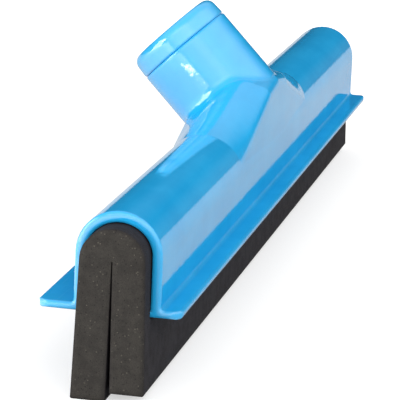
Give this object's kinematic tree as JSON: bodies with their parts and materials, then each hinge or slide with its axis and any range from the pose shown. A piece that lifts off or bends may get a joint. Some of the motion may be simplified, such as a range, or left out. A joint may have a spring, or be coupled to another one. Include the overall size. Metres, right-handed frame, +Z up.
{
  "type": "floor squeegee head",
  "caption": "Blue plastic squeegee head: half-round flanged channel with a leaning handle socket, holding a slide-out double-lip black foam rubber blade.",
  "frame": {"origin": "under the middle of the whole head's box, on the plane the longer lip stands on", "axes": "+X along the channel away from the blade's stop end, +Y towards the side the neck leans to, +Z up"},
  "size_m": [0.417, 0.0624, 0.0966],
  "materials": {
    "body_plastic": "gloss",
    "bush_plastic": "gloss",
    "foam_rubber": "matte"
  },
  "bodies": {
    "head": {"squeegee_body": "body_plastic", "socket_bush": "bush_plastic"},
    "blade": {"rubber_blade": "foam_rubber"}
  },
  "joints": [
    {"name": "blade_slide", "type": "slide", "parent": "head", "child": "blade", "axis": [-1, 0, 0], "range_m": [0, 0.4]}
  ]
}
